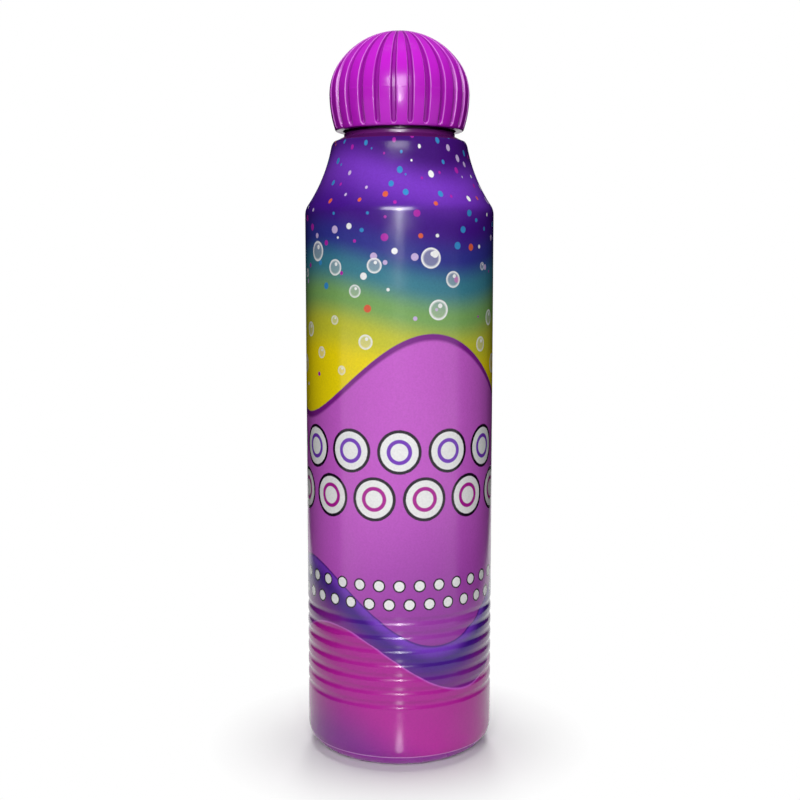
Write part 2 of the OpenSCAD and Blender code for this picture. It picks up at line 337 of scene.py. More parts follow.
def spun(outline, columns, closed=False, marks=()):
    """A turned shape: an outline of radius and height, spun into a slice that is then copied round."""
    shape = bmesh.new()
    mark = shape.verts.layers.float.new("mark")
    corners = [shape.verts.new((point[0], 0.0, point[1])) for point in outline]
    for corner, value in zip(corners, marks):
        corner[mark] = value
    pairs = list(zip(corners, corners[1:]))
    if closed:
        pairs.append((corners[-1], corners[0]))
    edges = [shape.edges.new(pair) for pair in pairs]
    slices = 12
    slice_turn = 2 * math.pi / slices
    bmesh.ops.spin(
        shape, geom=corners + edges, cent=(0, 0, 0), axis=(0, 0, 1), dvec=(0, 0, 0),
        angle=slice_turn, steps=columns // slices, use_merge=False,
    )
    bmesh.ops.spin(
        shape, geom=list(shape.verts) + list(shape.edges) + list(shape.faces), cent=(0, 0, 0),
        axis=(0, 0, 1), dvec=(0, 0, 0), angle=slice_turn * (slices - 1), steps=slices - 1,
        use_duplicate=True, use_merge=False,
    )
    bmesh.ops.remove_doubles(shape, verts=shape.verts, dist=0.0005 * mm)
    bmesh.ops.recalc_face_normals(shape, faces=shape.faces)
    return shape


def wind_thread(shape, root, crest, low, start, turns):
    """Winds a screw thread on to a shape: its section, carried up round the axis, fading at both ends."""
    steps = 48
    half_root = 0.75 * mm
    half_crest = 0.30 * mm
    fade = 0.12
    rise = low + thread_pitch * start
    turn = 2 * math.pi * start
    section = [(root, -half_root), (crest, -half_crest), (crest, half_crest), (root, half_root)]
    thread = bmesh.new()
    corners = [
        thread.verts.new((radius * math.cos(turn), radius * math.sin(turn), rise + height))
        for radius, height in section
    ]
    edges = [thread.edges.new(pair) for pair in zip(corners, corners[1:])]
    bmesh.ops.spin(
        thread, geom=corners + edges, cent=(0, 0, 0), axis=(0, 0, 1), dvec=(0, 0, thread_pitch / steps),
        angle=2 * math.pi * turns, steps=round(steps * turns), use_merge=False,
    )
    for corner in thread.verts:
        share = math.atan2(corner.co.y, corner.co.x) / (2 * math.pi)
        along = share + round((corner.co.z - low) / thread_pitch - share)
        height = max(0.0, min(1.0, (along - start) / fade, (start + turns - along) / fade))
        radius = math.hypot(corner.co.x, corner.co.y)
        kept = (root + (radius - root) * height) / radius
        corner.co.x *= kept
        corner.co.y *= kept
    thread_mesh = bpy.data.meshes.new("thread")
    thread.to_mesh(thread_mesh)
    thread.free()
    shape.from_mesh(thread_mesh)
    bpy.data.meshes.remove(thread_mesh)


def colour(red, green, blue):
    """A colour as a picture shows it, from 0 to 255, in the light values that shaders take."""
    shares = [part / 255 for part in (red, green, blue)]
    return tuple(s / 12.92 if s <= 0.04045 else ((s + 0.055) / 1.055) ** 2.4 for s in shares) + (1.0,)


def toned(tree, paint, level):
    """A colour made lighter or darker by a level that changes over the surface."""
    return put(tree, "ShaderNodeHueSaturation", Color=paint, Value=level).outputs["Color"]


def paint_of(shader):
    """The colour that feeds a finish so far."""
    return shader.inputs["Base Color"].links[0].from_socket


def emboss(tree, shader, height, strength, depth):
    """Gives a finish the relief of a height that changes over the surface."""
    relief = put(tree, "ShaderNodeBump", Height=height, Strength=strength, Distance=depth)
    feed(tree, shader.inputs["Normal"], relief.outputs["Normal"])


def moulded_skin():
    """The skin of moulded plastic: a fine orange peel, and patches a shade duller, lighter or darker."""
    group = bpy.data.node_groups.new("moulded_skin", "ShaderNodeTree")
    for side, name, kind in (
        ("INPUT", "Colour", "Color"), ("INPUT", "Grain", "Float"), ("INPUT", "Gloss", "Float"),
        ("OUTPUT", "Colour", "Color"), ("OUTPUT", "Roughness", "Float"), ("OUTPUT", "Height", "Float"),
    ):
        group.interface.new_socket(name, in_out=side, socket_type="NodeSocket" + kind)
    given = group.nodes.new("NodeGroupInput").outputs
    result = group.nodes.new("NodeGroupOutput").inputs
    shade = patches(group, 70.0, 3.0, 0.94, 1.05)
    feed(group, result["Colour"], toned(group, given["Colour"], shade))
    worn = patches(group, 160.0, 1.0, 0.0, 0.07)
    feed(group, result["Roughness"], sums(group, "ADD", given["Gloss"], worn))
    feed(group, result["Height"], noise(group, here(group), given["Grain"], 2.0))
    return group


skin_of_plastic = moulded_skin()


def moulded_plastic(name, base, grain, gloss, peel_depth):
    """A moulded plastic of one colour, with the shared skin on it."""
    material, tree, shader = new_finish(name)
    face = tree.nodes.new("ShaderNodeGroup")
    face.node_tree = skin_of_plastic
    for socket, value in (("Colour", base), ("Grain", grain), ("Gloss", gloss)):
        feed(tree, face.inputs[socket], value)
    feed(tree, shader.inputs["Base Color"], face.outputs["Colour"])
    feed(tree, shader.inputs["Roughness"], face.outputs["Roughness"])
    emboss(tree, shader, face.outputs["Height"], 0.35, peel_depth)
    return material, tree, shader


bottle_purple, bottle_tree, bottle_shader = moulded_plastic(
    "bottle_purple", colour(150, 42, 160), 1600.0, 0.22, 0.005 * mm
)
# The bottle's colour is drawn darker towards the neck.
bottle_up = put(bottle_tree, "ShaderNodeSeparateXYZ", Vector=here(bottle_tree)).outputs["Z"]
neck_shade = ranged(bottle_tree, bottle_up, shade_low * lip_z, shade_high * lip_z, 1.0, shade_level)
neck_paint = toned(bottle_tree, paint_of(bottle_shader), neck_shade)
feed(bottle_tree, bottle_shader.inputs["Base Color"], neck_paint)
shoulder_end = edge_c + (edge_r - film_room) * ray(edge_stop)
slope = math.tan(math.radians(90 - edge_stop))
neck_z = shoulder_end.y + (shoulder_end.x - neck_r) * slope
bead_z = neck_z + neck_bead_h
bead_foot = shoulder_end.y + (shoulder_end.x - neck_bead_r) * slope
hollow_arc_r = (hollow_r ** 2 + hollow_rise ** 2) / (2 * hollow_rise)
hollow_c = Vector((0.0, hollow_rise - hollow_arc_r))
hollow_edge = math.degrees(math.acos(hollow_r / hollow_arc_r))
floor_edge = math.degrees(math.acos(hollow_r / (hollow_arc_r + wall)))
inner_side = [point for point in body_side(film_room + wall) if point.x > neck_bore_r + wall]
inner_neck_z = inner_side[-1].y + (inner_side[-1].x - neck_bore_r) * slope
bottle_outline = (
    arc(hollow_c, hollow_arc_r, 90, hollow_edge, 10)
    + body_side(film_room)
    + [Vector((neck_bead_r, bead_foot))]
    + arc((neck_bead_r - bead_round, bead_z - bead_round), bead_round, 0, 90, 4)
    + [Vector((neck_r, bead_z))]
    + arc((neck_r - lip_round, lip_z - lip_round), lip_round, 0, 90, 5)
    + arc((neck_bore_r + lip_round, lip_z - lip_round), lip_round, 90, 180, 5)
    + [Vector((neck_bore_r, inner_neck_z))]
    + list(reversed(inner_side))
    + arc(hollow_c, hollow_arc_r + wall, floor_edge, 90, 10)
)
bottle_shape = spun(bottle_outline, 144)
wind_thread(bottle_shape, neck_r - thread_sink, thread_crest_r, thread_low, 0.0, neck_turns)
bottle = as_piece("bottle_body", bottle_shape, bottle_purple)
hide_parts("bottle")
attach(bottle, "bottle")

# The ink
# Dark, wet dye that fills most of the bottle, a hair inside its wall.
ink_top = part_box("ink_charge")[1].z
ink_gap = 0.15 * mm
ink_edge = math.degrees(math.acos(hollow_r / (hollow_arc_r + wall + ink_gap)))
ink_side = [point for point in body_side(film_room + wall + ink_gap) if point.y < ink_top]
ink_outline = (
    arc(hollow_c, hollow_arc_r + wall + ink_gap, 90, ink_edge, 8)
    + ink_side
    + [Vector((ink_side[-1].x, ink_top)), Vector((0.0, ink_top))]
)
ink_dye, ink_tree, ink_shader = new_finish("ink_dye")
ink_cloud = patches(ink_tree, 90.0, 4.0, 0.85, 1.1)
feed(ink_tree, ink_shader.inputs["Base Color"], toned(ink_tree, colour(92, 8, 110), ink_cloud))
ink_shader.inputs["Roughness"].default_value = 0.06
ink = as_piece("ink_fill", spun(ink_outline, 96), ink_dye)
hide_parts("ink_charge")
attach(ink, "bottle")

# The film
# Heat-shrunk plastic film, printed on its inner side and glossy outside. It is slid on as a tube with a
# seam down the back and drawn tight over the rings and the shoulder. The print is a generic one.
film_t = 0.15 * mm
film_from = film_low.z + 0.05 * mm
film_to = film_high.z - 0.02 * mm


def film_face(inset):
    """The film's face between its two cut edges, this far under its outer face."""
    return [point for point in body_side(inset) if film_from < point.y < film_to]


def cut_edge(height, inset):
    """Where a level cut meets the heel, this far under the film's outer face."""
    rise = height - heel_c.y
    return Vector((heel_c.x + math.sqrt((heel_r - inset) ** 2 - rise ** 2), height))


film_outline = (
    [cut_edge(film_low.z, film_t), cut_edge(film_low.z, 0.0)]
    + film_face(0.0)
    + list(reversed(film_face(film_t)))
)
film_shape = spun(film_outline, 192, closed=True)

film_print, film_tree, film_shader = new_finish("film_print")
print_place = put(film_tree, "ShaderNodeSeparateXYZ", Vector=here(film_tree)).outputs
print_turn = sums(film_tree, "ARCTAN2", print_place["X"], sums(film_tree, "MULTIPLY", print_place["Y"], -1.0))
print_across = sums(film_tree, "MULTIPLY", print_turn, body_r / mm)
print_up = sums(film_tree, "DIVIDE", print_place["Z"], mm)


def swell(tree, turn, base, height, waves, phase):
    """A line round the bottle that rises and falls, in millimetres up the print."""
    angle = sums(tree, "MULTIPLY_ADD", turn, waves, phase)
    return sums(tree, "MULTIPLY_ADD", sums(tree, "SINE", angle), height, base)


def under(tree, line, up, soften):
    """1 below a line of the print and 0 above it, with this softness in millimetres."""
    return ranged(tree, sums(tree, "SUBTRACT", line, up), -soften, soften)


def over_print(tree, mask, below, above):
    """One ink over another where the mask says."""
    made = tree.nodes.new("ShaderNodeMix")
    made.data_type = "RGBA"
    for socket, value in zip((made.inputs[0], made.inputs[6], made.inputs[7]), (mask, below, above)):
        feed(tree, socket, value)
    return made.outputs[2]


def blended(tree, value, low, high, stops, join="EASE"):
    """Inks that run into one another along a value: each stop is a place and a colour."""
    made = put(tree, "ShaderNodeValToRGB", Fac=ranged(tree, value, low, high))
    scale = made.color_ramp
    scale.interpolation = join
    while len(scale.elements) < len(stops):
        scale.elements.new(0.5)
    for element, (place, ink_colour) in zip(scale.elements, stops):
        element.position = (place - low) / (high - low)
        element.color = ink_colour
    return made.outputs["Color"]


yellow = colour(251, 226, 14)
lime = colour(206, 204, 52)
green = colour(126, 172, 96)
teal = colour(62, 130, 150)
deep_blue = colour(52, 54, 146)
indigo = colour(70, 24, 138)
violet = colour(122, 58, 196)
dark_violet = colour(72, 22, 126)
orchid = colour(206, 98, 212)
orchid_deep = colour(158, 58, 170)
plum = colour(128, 34, 142)
magenta = colour(180, 30, 154)
white = colour(250, 250, 250)
ink_black = colour(28, 12, 36)

# Each line has its middle, its rise and fall in millimetres, its waves round the bottle and its phase.
sky_line = (0.0, 2.6, 2.0, 0.4)
orchid_edge = (78.0, 8.0, 2.0, 0.9)
ribbon_edge = (33.0, 8.0, 2.0, 3.9)
foot_edge = (22.0, 6.5, 2.0, 3.2)
edge_soft = 0.12
sky_up = sums(film_tree, "ADD", print_up, swell(film_tree, print_turn, *sky_line))
print_colour = blended(
    film_tree, sky_up, 50.0, 124.0,
    [(50.0, yellow), (79.0, yellow), (85.0, lime), (91.0, green), (97.0, teal), (102.5, deep_blue),
     (108.0, indigo), (116.0, violet), (122.0, dark_violet)],
)

orchid_line = swell(film_tree, print_turn, *orchid_edge)
orchid_depth = sums(film_tree, "SUBTRACT", orchid_line, print_up)
orchid_ink = blended(
    film_tree, orchid_depth, 0.0, 60.0,
    [(0.0, plum), (0.9, plum), (1.6, orchid), (22.0, orchid), (60.0, orchid_deep)],
)
orchid_mask = under(film_tree, orchid_line, print_up, edge_soft)
print_colour = over_print(film_tree, orchid_mask, print_colour, orchid_ink)

ribbon_line = swell(film_tree, print_turn, *ribbon_edge)
ribbon_depth = sums(film_tree, "SUBTRACT", ribbon_line, print_up)
ribbon_ink = blended(
    film_tree, ribbon_depth, 0.0, 14.0,
    [(0.0, dark_violet), (0.6, violet), (3.5, indigo), (10.0, plum), (14.0, plum)],
)
ribbon_mask = under(film_tree, ribbon_line, print_up, edge_soft)
print_colour = over_print(film_tree, ribbon_mask, print_colour, ribbon_ink)
foot_line = swell(film_tree, print_turn, *foot_edge)
foot_depth = sums(film_tree, "SUBTRACT", foot_line, print_up)
foot_ink = blended(
    film_tree, foot_depth, 0.0, 24.0,
    [(0.0, orchid), (0.5, magenta), (12.0, magenta), (24.0, plum)],
)
foot_mask = under(film_tree, foot_line, print_up, edge_soft)
print_colour = over_print(film_tree, foot_mask, print_colour, foot_ink)


def dabs(tree, across, up, cell, slant, jitter):
    """Places scattered over the print, one to a cell of so many millimetres.

    Gives the way from the nearest one, in cells, how far it is, its chances, and its own place on the print.
    """
    flat = put(tree, "ShaderNodeCombineXYZ", X=across, Y=up).outputs["Vector"]
    to_cells = (1 / cell, 1 / cell, 1.0)
    grid = put(tree, "ShaderNodeMapping", Vector=flat, Rotation=(0, 0, slant), Scale=to_cells)
    scatter = put(tree, "ShaderNodeTexVoronoi", Vector=grid.outputs["Vector"], Scale=1.0, Randomness=jitter)
    scatter.voronoi_dimensions = "2D"
    way = vector_sums(tree, "SUBTRACT", "Vector", grid.outputs["Vector"], scatter.outputs["Position"])
    chances = put(tree, "ShaderNodeSeparateColor", Color=scatter.outputs["Color"]).outputs
    back = put(tree, "ShaderNodeMapping", Vector=way, Rotation=(0, 0, -slant))
    shift = put(tree, "ShaderNodeSeparateXYZ", Vector=back.outputs["Vector"]).outputs
    middle_across = sums(tree, "SUBTRACT", across, sums(tree, "MULTIPLY", shift["X"], cell))
    middle_up = sums(tree, "SUBTRACT", up, sums(tree, "MULTIPLY", shift["Y"], cell))
    return way, scatter.outputs["Distance"], chances, middle_across, middle_up


def within(tree, distance, size, soften):
    """1 inside a round dab of this size and 0 outside it."""
    return ranged(tree, sums(tree, "SUBTRACT", size, distance), -soften, soften)


def above_orchid(tree, across, clear):
    """This far above the orchid's edge at a place across the print, in millimetres."""
    turn = sums(tree, "DIVIDE", across, body_r / mm)
    return sums(tree, "ADD", swell(tree, turn, *orchid_edge), clear)


# Confetti: sizes are shares of a cell, and it gets denser towards the shoulder.
confetti_small = 0.06
confetti_large = 0.22
confetti_thin = 0.12
confetti_dense = 0.80
confetti_thin_z = 84.0
confetti_dense_z = 108.0
confetti_clear = 2.0
confetti_far, confetti_chance, confetti_across, confetti_up = dabs(
    film_tree, print_across, print_up, cell=3.4, slant=0.5, jitter=0.62
)[1:]
confetti_size = ranged(film_tree, confetti_chance["Red"], 0.0, 1.0, confetti_small, confetti_large)
confetti_ink = blended(
    film_tree, confetti_chance["Green"], 0.0, 1.0,
    [(0.0, white), (0.18, colour(58, 142, 206)), (0.45, colour(206, 182, 226)), (0.66, colour(180, 40, 172)),
     (0.84, colour(222, 96, 66))], join="CONSTANT",
)
confetti_share = ranged(
    film_tree, confetti_up, confetti_thin_z, confetti_dense_z, confetti_thin, confetti_dense
)
confetti_kept = sums(film_tree, "LESS_THAN", confetti_chance["Blue"], confetti_share)
confetti_floor = above_orchid(film_tree, confetti_across, confetti_clear)
confetti_high = sums(film_tree, "GREATER_THAN", confetti_up, confetti_floor)
confetti_dab = within(film_tree, confetti_far, confetti_size, 0.02)
confetti_drawn = sums(film_tree, "MULTIPLY", confetti_kept, confetti_high)
confetti_mask = sums(film_tree, "MULTIPLY", confetti_dab, confetti_drawn)
print_colour = over_print(film_tree, confetti_mask, print_colour, confetti_ink)

# Bubbles: a pale ring, a thin wash inside it and a spot of light near its top.
bubble_small = 0.09
bubble_large = 0.29
bubble_hole = 0.80
bubble_thin = 0.78
bubble_share = 0.66
bubble_clear = 3.4
bubble_ceiling = 103.0
spot_place = (-0.10, 0.42, 0.0)
spot_share = 0.24
bubble_way, bubble_far, bubble_chance, bubble_across, bubble_up = dabs(
    film_tree, print_across, print_up, cell=7.0, slant=0.62, jitter=0.40
)
bubble_size = ranged(film_tree, bubble_chance["Red"], 0.0, 1.0, bubble_small, bubble_large)
bubble_disc = within(film_tree, bubble_far, bubble_size, 0.012)
bubble_inner = within(film_tree, bubble_far, sums(film_tree, "MULTIPLY", bubble_size, bubble_hole), 0.03)
bubble_rim = sums(film_tree, "SUBTRACT", bubble_disc, sums(film_tree, "MULTIPLY", bubble_inner, bubble_thin))
spot_middle = vector_sums(film_tree, "SCALE", "Vector", spot_place, bubble_size)
spot_far = vector_sums(film_tree, "DISTANCE", "Value", bubble_way, spot_middle)
bubble_spot = within(film_tree, spot_far, sums(film_tree, "MULTIPLY", bubble_size, spot_share), 0.01)
bubble_floor = above_orchid(film_tree, bubble_across, bubble_clear)
bubble_low = sums(film_tree, "GREATER_THAN", bubble_up, bubble_floor)
bubble_high = sums(film_tree, "LESS_THAN", bubble_up, bubble_ceiling)
bubble_drawn = sums(film_tree, "LESS_THAN", bubble_chance["Blue"], bubble_share)
bubble_kept = sums(film_tree, "MULTIPLY", sums(film_tree, "MULTIPLY", bubble_low, bubble_high), bubble_drawn)
bubble_mask = sums(film_tree, "MULTIPLY", sums(film_tree, "MAXIMUM", bubble_rim, bubble_spot), bubble_kept)
print_colour = over_print(film_tree, bubble_mask, print_colour, white)


def chip_row(tree, across, up, height, count, turn_share):
    """How far each point is from the nearest of a row of even places round the bottle, in millimetres."""
    pitch = 2 * math.pi * body_r / mm / count
    shifted = sums(tree, "ADD", across, turn_share * pitch)
    beside = sums(tree, "SUBTRACT", sums(tree, "FLOORED_MODULO", shifted, pitch), pitch / 2)
    above = sums(tree, "SUBTRACT", up, height)
    squares = sums(tree, "MULTIPLY_ADD", beside, beside, sums(tree, "MULTIPLY", above, above))
    return sums(tree, "SQRT", squares)


def discs(tree, below, distance, soften, *inks):
    """Round spots, each ink over the last: an ink is a size in millimetres and a colour."""
    for size, ink_colour in inks:
        below = over_print(tree, within(tree, distance, size, soften), below, ink_colour)
    return below


# Two rows of round game chips, white with a dark rim and a coloured ring, and two rows of white dots
chip_count = 12
chip_size = 3.7
chip_rim = 0.6
chip_ring = 0.66 * chip_size
chip_middle = 0.46 * chip_size
for chip_z, chip_start, ring_ink in ((63.4, 0.5, violet), (54.2, 0.0, magenta)):
    chip_far = chip_row(film_tree, print_across, print_up, chip_z, chip_count, chip_start)
    print_colour = discs(
        film_tree, print_colour, chip_far, 0.06,
        (chip_size + chip_rim, ink_black), (chip_size, white), (chip_ring, ring_ink), (chip_middle, white),
    )
dot_count = 30
dot_size = 0.95
dot_rim = 0.3
for dot_z, dot_start in ((37.2, 0.5), (33.5, 0.0)):
    dot_far = chip_row(film_tree, print_across, print_up, dot_z, dot_count, dot_start)
    print_colour = discs(
        film_tree, print_colour, dot_far, 0.05, (dot_size + dot_rim, ink_black), (dot_size, white)
    )

# The seam down the back is a plain plum strip, and a pale line along the cut edge is a painted highlight.
seam_half = 1.6
cut_highlight_wide = 0.22
cut_highlight_share = 0.55
seam_far = sums(film_tree, "SUBTRACT", math.pi * body_r / mm, sums(film_tree, "ABSOLUTE", print_across))
seam_mask = within(film_tree, seam_far, seam_half, 0.05)
print_colour = over_print(film_tree, seam_mask, print_colour, plum)
cut_line = film_low.z / mm + cut_highlight_wide
cut_edge_painted_highlight = sums(film_tree, "MULTIPLY", under(film_tree, cut_line, print_up, 0.08), cut_highlight_share)
print_colour = over_print(film_tree, cut_edge_painted_highlight, print_colour, colour(222, 160, 226))
print_grain = patches(film_tree, 2600.0, 2.0, 0.95, 1.05)
feed(film_tree, film_shader.inputs["Base Color"], toned(film_tree, print_colour, print_grain))

# The film is drawn into long shallow waves, and lies double along the seam.
film_drawn = put(film_tree, "ShaderNodeMapping", Vector=here(film_tree), Scale=(160.0, 160.0, 60.0))
film_sway = noise(film_tree, film_drawn.outputs["Vector"], 1.0, 2.0)
film_height = sums(film_tree, "MULTIPLY_ADD", seam_mask, 0.4, film_sway)
emboss(film_tree, film_shader, film_height, 0.5, 0.12 * mm)
film_dull = ranged(film_tree, noise(film_tree, here(film_tree), 220.0, 5.0), 0.35, 0.75, 0.17, 0.27)
feed(film_tree, film_shader.inputs["Roughness"], film_dull)
film = as_piece("film_sleeve", film_shape, film_print)
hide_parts("shrink_sleeve")
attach(film, "bottle")

# The plug fitment
# White moulded polyethylene, pressed into the neck: a cup with a flange on the lip, the valve's seat and
# chamber below, and four arms that carry the tip.


def eased(name, node, material, width):
    """The frame's own solid with its flat faces rejoined and its edges eased, as moulded edges are."""
    shape = bmesh.new()
    shape.from_mesh(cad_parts[node].data)
    bmesh.ops.remove_doubles(shape, verts=shape.verts, dist=0.001 * mm)
    bmesh.ops.dissolve_limit(shape, angle_limit=math.radians(1.5), verts=shape.verts, edges=shape.edges)
    bmesh.ops.recalc_face_normals(shape, faces=shape.faces)
    crease = math.radians(40)
    sharp = [edge for edge in shape.edges if edge.is_manifold and edge.calc_face_angle() > crease]
    bmesh.ops.bevel(
        shape, geom=sharp, offset=width, segments=2, affect="EDGES", profile=0.5, material=-1,
        clamp_overlap=True,
    )
    return as_piece(name, shape, material)


fitment_white = moulded_plastic("fitment_white", colour(232, 230, 226), 1400.0, 0.32, 0.02 * mm)[0]
fitment = eased("plug_fitment", "applicator_housing", fitment_white, 0.12 * mm)
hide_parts("applicator_housing")
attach(fitment, "bottle")

# The spring's cage
# A slotted white disc snapped into the foot of the chamber, with a pip that centres the spring.
cage = eased("spring_cage", "valve_cage", fitment_white, 0.08 * mm)
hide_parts("valve_cage")
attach(cage, "bottle")

# The valve
# An ivory disc with a stem, moulded in one, that the tip pushes down off its seat.
valve_ivory = moulded_plastic("valve_ivory", colour(236, 228, 200), 1400.0, 0.30, 0.02 * mm)[0]
valve = eased("valve_disc", "valve_poppet", valve_ivory, 0.10 * mm)
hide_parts("valve_poppet")
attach(valve, "valve")

# The valve's spring
# Round stainless wire wound in four open turns between the cage and the valve's disc.
spring_low, spring_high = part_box("valve_spring")
wire_r = 0.25 * mm
coil_r = 2.7 * mm
coil_turns = 4
coil_steps = 40
coil_h = spring_high.z - spring_low.z
coil_rise = coil_h - 2 * wire_r
spring_shape = bmesh.new()
wire_end = bmesh.ops.create_circle(spring_shape, cap_ends=True, segments=10, radius=wire_r)
upright = Matrix.Rotation(math.pi / 2, 3, "X")
bmesh.ops.rotate(spring_shape, verts=wire_end["verts"], cent=(0, 0, 0), matrix=upright)
bmesh.ops.translate(spring_shape, verts=wire_end["verts"], vec=(coil_r, 0, spring_low.z + wire_r))
bmesh.ops.spin(
    spring_shape, geom=spring_shape.faces[:], cent=(0, 0, 0), axis=(0, 0, 1),
    dvec=(0, 0, coil_rise / (coil_turns * coil_steps)), angle=2 * math.pi * coil_turns,
    steps=coil_turns * coil_steps, use_merge=False,
)
bmesh.ops.recalc_face_normals(spring_shape, faces=spring_shape.faces)
spring_steel, spring_tree, spring_shader = new_finish("spring_steel")
spring_shader.inputs["Metallic"].default_value = 1.0
feed(spring_tree, spring_shader.inputs["Roughness"], patches(spring_tree, 4000.0, 3.0, 0.16, 0.34))
spring_tone = blended(
    spring_tree, noise(spring_tree, here(spring_tree), 600.0, 2.0), 0.3, 0.7,
    [(0.3, colour(172, 174, 178)), (0.7, colour(206, 207, 209))],
)
feed(spring_tree, spring_shader.inputs["Base Color"], spring_tone)
spring = as_piece("valve_coil", spring_shape, spring_steel)
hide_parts("valve_spring")
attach(spring, "bottle")
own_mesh(spring)

# The sponge
# A low dome of open-cell foam on the fitment's arms, which carries the ink to the cover.
foam_low, foam_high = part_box("foam_tip")
foam_r = foam_high.x
tip_dome_r = 10.25 * mm
foam_gap = 0.55 * mm
foam_dome_r = tip_dome_r - foam_gap
foam_dome_c = Vector((0.0, foam_high.z - foam_dome_r))
foam_edge = math.degrees(math.acos(foam_r / foam_dome_r))
foam_round = 0.3 * mm
foam_outline = (
    [Vector((0.0, foam_low.z))]
    + arc((foam_r - foam_round, foam_low.z + foam_round), foam_round, -90, 0, 4)
    + arc(foam_dome_c, foam_dome_r, foam_edge, 90, 16)
)
foam_sponge, foam_tree, foam_shader = new_finish("foam_sponge")
foam_pores = put(foam_tree, "ShaderNodeTexVoronoi", Vector=here(foam_tree), Scale=2600.0).outputs["Distance"]
foam_tone = blended(
    foam_tree, foam_pores, 0.0, 0.7,
    [(0.0, colour(126, 62, 140)), (0.35, colour(196, 152, 204)), (0.7, colour(216, 180, 222))],
)
feed(foam_tree, foam_shader.inputs["Base Color"], foam_tone)
foam_shader.inputs["Roughness"].default_value = 0.92
emboss(foam_tree, foam_shader, foam_pores, 0.9, 0.25 * mm)
foam = as_piece("sponge_dome", spun(foam_outline, 72), foam_sponge)
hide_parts("foam_tip")
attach(foam, "bottle")
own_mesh(foam)

# The woven cover
# A disc of white nylon cloth drawn over the sponge, its edge turned down and clamped by the collar.
cover_low, cover_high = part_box("tip_fabric")
collar_low, collar_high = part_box("retaining_collar")
cover_r = cover_high.x
cover_t = 0.45 * mm
cover_dome_c = Vector((0.0, cover_high.z - tip_dome_r))
cover_edge = math.degrees(math.acos(cover_r / tip_dome_r))
inner_edge = math.degrees(math.acos((cover_r - cover_t) / (tip_dome_r - cover_t)))
cover_outline = (
    arc(cover_dome_c, tip_dome_r - cover_t, 90, inner_edge, 20)
    + [Vector((cover_r - cover_t, cover_low.z)), Vector((cover_r, cover_low.z))]
    + arc(cover_dome_c, tip_dome_r, cover_edge, 90, 20)
)
cover_cloth, cover_tree, cover_shader = new_finish("cover_cloth")
cover_place = put(cover_tree, "ShaderNodeSeparateXYZ", Vector=here(cover_tree)).outputs
cloth_thread = 0.42 * mm


def weave(tree, place):
    """Plain weave seen from above: threads that pass over and under each other, as a height."""
    warp = sums(tree, "SINE", sums(tree, "MULTIPLY", place["X"], math.pi / cloth_thread))
    weft = sums(tree, "SINE", sums(tree, "MULTIPLY", place["Y"], math.pi / cloth_thread))
    crossing = sums(tree, "MULTIPLY", warp, weft)
    crowns = sums(tree, "MULTIPLY", sums(tree, "ABSOLUTE", warp), sums(tree, "ABSOLUTE", weft))
    return sums(tree, "MULTIPLY_ADD", crossing, 0.35, crowns)


cover_weave = weave(cover_tree, cover_place)
cover_stain = ranged(cover_tree, noise(cover_tree, here(cover_tree), 260.0, 4.0), 0.38, 0.70)
cover_tone = over_print(cover_tree, cover_stain, colour(238, 234, 240), colour(214, 176, 220))
# Painted shade: the hollows between the threads are drawn darker than their crowns.
weave_painted_shade = ranged(cover_tree, cover_weave, -0.3, 1.2, 0.72, 1.04)
feed(cover_tree, cover_shader.inputs["Base Color"], toned(cover_tree, cover_tone, weave_painted_shade))
cover_shader.inputs["Roughness"].default_value = 0.85
emboss(cover_tree, cover_shader, cover_weave, 0.8, 0.12 * mm)
cover = as_piece("woven_cover", spun(cover_outline, 96), cover_cloth)
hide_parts("tip_fabric")
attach(cover, "bottle")
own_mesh(cover)

# The collar
# A white ring snapped down round the cover's turned-down edge, on the fitment's flange.
collar_gap = 0.05 * mm
collar_bore_r = cover_r + collar_gap
collar_r = collar_high.x
collar_round = 0.25 * mm
collar_outline = (
    [Vector((collar_bore_r, collar_low.z)), Vector((collar_r, collar_low.z))]
    + arc((collar_r - collar_round, collar_high.z - collar_round), collar_round, 0, 90, 5)
    + arc((collar_bore_r + collar_round, collar_high.z - collar_round), collar_round, 90, 180, 5)
)
collar_white = moulded_plastic("collar_white", colour(238, 236, 234), 1500.0, 0.28, 0.02 * mm)[0]
collar = as_piece("cover_collar", spun(collar_outline, 96, closed=True), collar_white)
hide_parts("retaining_collar")
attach(collar, "bottle")

# The seal ring
# A soft grey ring that sits in the cap over a keeper bead and presses on the fitment's flange.
seal_low, seal_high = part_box("cap_seal_ring")
seal_r = seal_high.x
seal_bore_r = 9.45 * mm
seal_round = 0.3 * mm
seal_outline = (
    arc((seal_bore_r + seal_round, seal_low.z + seal_round), seal_round, 180, 270, 4)
    + arc((seal_r - seal_round, seal_low.z + seal_round), seal_round, 270, 360, 4)
    + arc((seal_r - seal_round, seal_high.z - seal_round), seal_round, 0, 90, 4)
    + arc((seal_bore_r + seal_round, seal_high.z - seal_round), seal_round, 90, 180, 4)
)
seal_soft = moulded_plastic("seal_soft", colour(214, 214, 210), 2200.0, 0.55, 0.03 * mm)[0]
seal = as_piece("seal_ring", spun(seal_outline, 96, closed=True), seal_soft)
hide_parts("cap_seal_ring")
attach(seal, "cap_seal")

